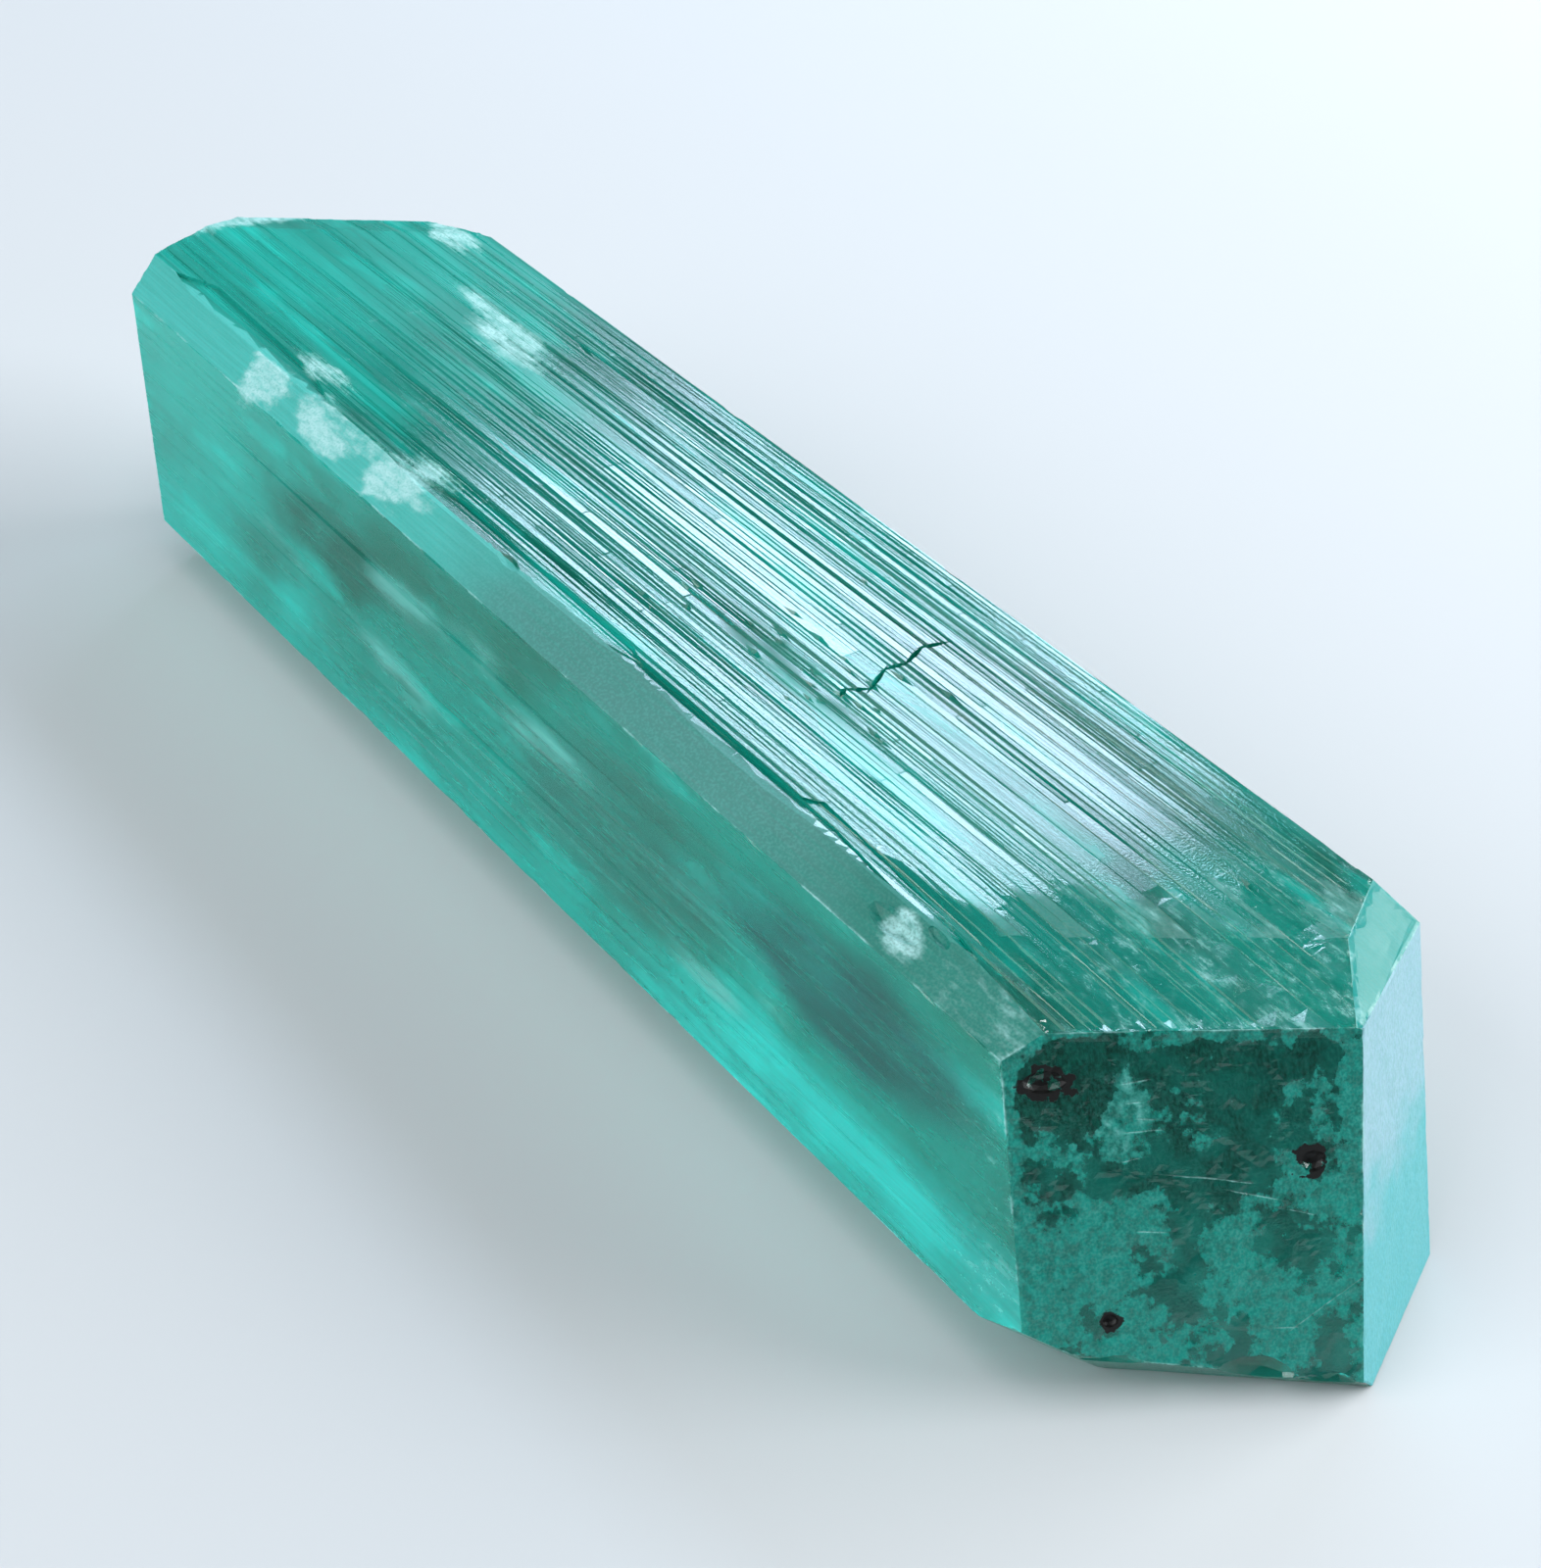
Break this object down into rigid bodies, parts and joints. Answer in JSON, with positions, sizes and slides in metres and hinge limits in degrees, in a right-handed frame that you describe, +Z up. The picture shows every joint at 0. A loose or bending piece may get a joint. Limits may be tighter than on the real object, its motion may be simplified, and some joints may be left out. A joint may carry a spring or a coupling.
{
  "type": "kunzite crystal",
  "caption": "Green see-through kunzite (spodumene) crystal: a long flat prism with a striated top face, a bevelled long side and wedge-shaped oblique ends, lying on its broad face.",
  "frame": {"origin": "under the middle of the crystal's box, on the surface it rests on", "axes": "+X along the length towards the front end, whose foot reaches forward; +Y away from the bevelled long side; +Z up out of the striated top face"},
  "size_m": [0.1502, 0.0376, 0.026],
  "materials": {
    "crystal": "see-through green, glassy on the striated top, frosted on the bevel, cloudy inside"
  },
  "bodies": {
    "root": {"crystal": "crystal"}
  },
  "joints": []
}
